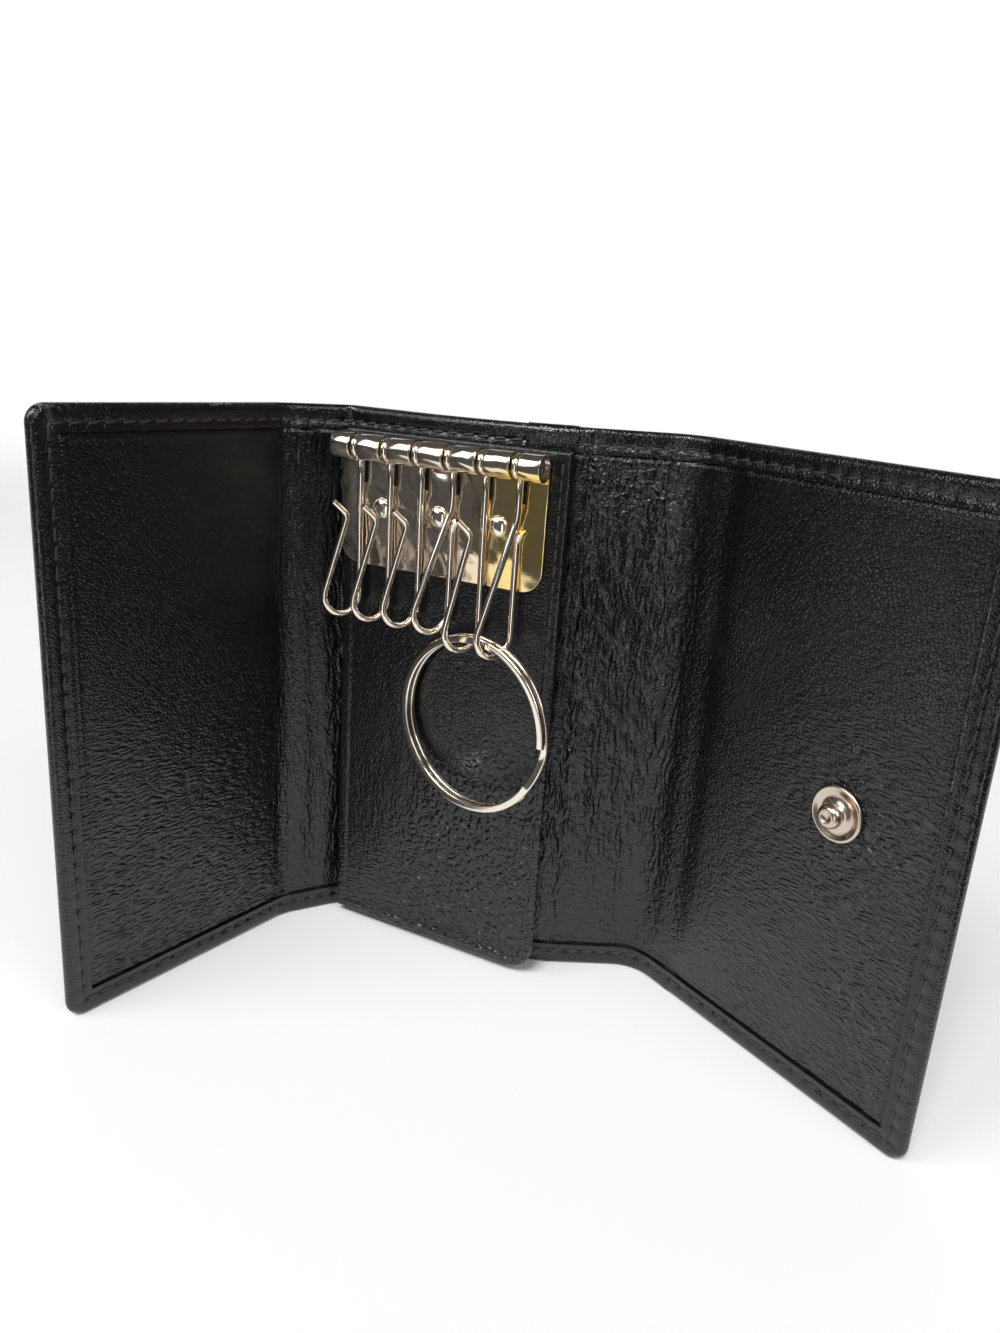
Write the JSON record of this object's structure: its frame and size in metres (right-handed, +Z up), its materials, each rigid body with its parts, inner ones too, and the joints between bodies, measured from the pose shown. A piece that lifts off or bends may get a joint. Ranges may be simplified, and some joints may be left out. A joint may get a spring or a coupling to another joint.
{
  "type": "key case",
  "caption": "Folding leather key case standing open, with wire key hooks and a split ring on a metal rack and a snap fastener on the flaps.",
  "frame": {"origin": "foot of the fold between the centre and the left strip, on the surface that the case stands on", "axes": "+X along the key panel from the left fold to the right one, +Y out through the back of the case, +Z up"},
  "size_m": [0.1356, 0.0725, 0.1056],
  "materials": {
    "leather": "semi-gloss, creased",
    "lining": "satin, fine grain",
    "board": "matte",
    "thread": "waxed",
    "nickel": "polished"
  },
  "bodies": {
    "centre": {"centre_shell": "leather", "centre_board": "board", "centre_lining": "lining", "centre_stitching": "thread", "key_panel_front": "leather", "key_panel_back": "lining", "key_panel_stitching": "thread", "panel_top_tab": "leather", "hook_rack": "nickel", "hook_rod": "nickel", "rack_rivets": "nickel"},
    "left_spine": {"left_spine_shell": "leather", "left_spine_lining": "lining", "left_spine_stitching": "thread"},
    "left_flap": {"left_flap_shell": "leather", "left_flap_board": "board", "left_flap_lining": "lining", "left_flap_stitching": "thread", "snap_socket": "nickel", "snap_socket_back": "nickel"},
    "right_spine": {"right_spine_shell": "leather", "right_spine_lining": "lining", "right_spine_stitching": "thread"},
    "right_flap": {"right_flap_shell": "leather", "right_flap_board": "board", "right_flap_lining": "lining", "right_flap_stitching": "thread", "snap_stud": "nickel", "snap_stud_back": "nickel"},
    "hook_1": {"hook_1": "nickel"},
    "hook_2": {"hook_2": "nickel"},
    "hook_3": {"hook_3": "nickel"},
    "hook_4": {"hook_4": "nickel"},
    "hook_5": {"hook_5": "nickel"},
    "hook_6": {"hook_6": "nickel"},
    "ring": {"split_ring": "nickel"}
  },
  "joints": [
    {"name": "left_inner_fold", "type": "hinge", "parent": "centre", "child": "left_spine", "pos_m": [0, 0, 0], "axis": [0, 0, -1], "range_deg": [-33.5, 61.5]},
    {"name": "left_outer_fold", "type": "hinge", "parent": "left_spine", "child": "left_flap", "pos_m": [-0.00745, -0.01126, 0], "axis": [0, 0, -1], "range_deg": [-65.5, 24.5]},
    {"name": "right_inner_fold", "type": "hinge", "parent": "centre", "child": "right_spine", "pos_m": [0.04747, 0.00445, 0], "axis": [0, 0, 1], "range_deg": [-78.04, 8]},
    {"name": "right_outer_fold", "type": "hinge", "parent": "right_spine", "child": "right_flap", "pos_m": [0.07177, 0.0089, 0], "axis": [0, 0, 1], "range_deg": [-74.95, 25]},
    {"name": "hook_1_swing", "type": "hinge", "parent": "centre", "child": "hook_1", "pos_m": [0.0064, -0.00645, 0.0983], "axis": [-1, 0, 0], "range_deg": [0, 140]},
    {"name": "hook_2_swing", "type": "hinge", "parent": "centre", "child": "hook_2", "pos_m": [0.01294, -0.00645, 0.0983], "axis": [-1, 0, 0], "range_deg": [0, 140]},
    {"name": "hook_3_swing", "type": "hinge", "parent": "centre", "child": "hook_3", "pos_m": [0.01948, -0.00645, 0.0983], "axis": [-1, 0, 0], "range_deg": [0, 140]},
    {"name": "hook_4_swing", "type": "hinge", "parent": "centre", "child": "hook_4", "pos_m": [0.02602, -0.00645, 0.0983], "axis": [-1, 0, 0], "range_deg": [0, 140]},
    {"name": "hook_5_swing", "type": "hinge", "parent": "centre", "child": "hook_5", "pos_m": [0.03256, -0.00645, 0.0983], "axis": [-1, 0, 0], "range_deg": [0, 140]},
    {"name": "hook_6_swing", "type": "hinge", "parent": "centre", "child": "hook_6", "pos_m": [0.0391, -0.00645, 0.0983], "axis": [-1, 0, 0], "range_deg": [0, 140]},
    {"name": "ring_turn", "type": "hinge", "parent": "hook_6", "child": "ring", "pos_m": [0.03429, -0.00858, 0.0686], "axis": [0, 0, -1], "range_deg": [-10, 0.5]}
  ],
  "couplings": [
    {"joint": "hook_5_swing", "follows": "hook_6_swing", "ratio": 1}
  ]
}
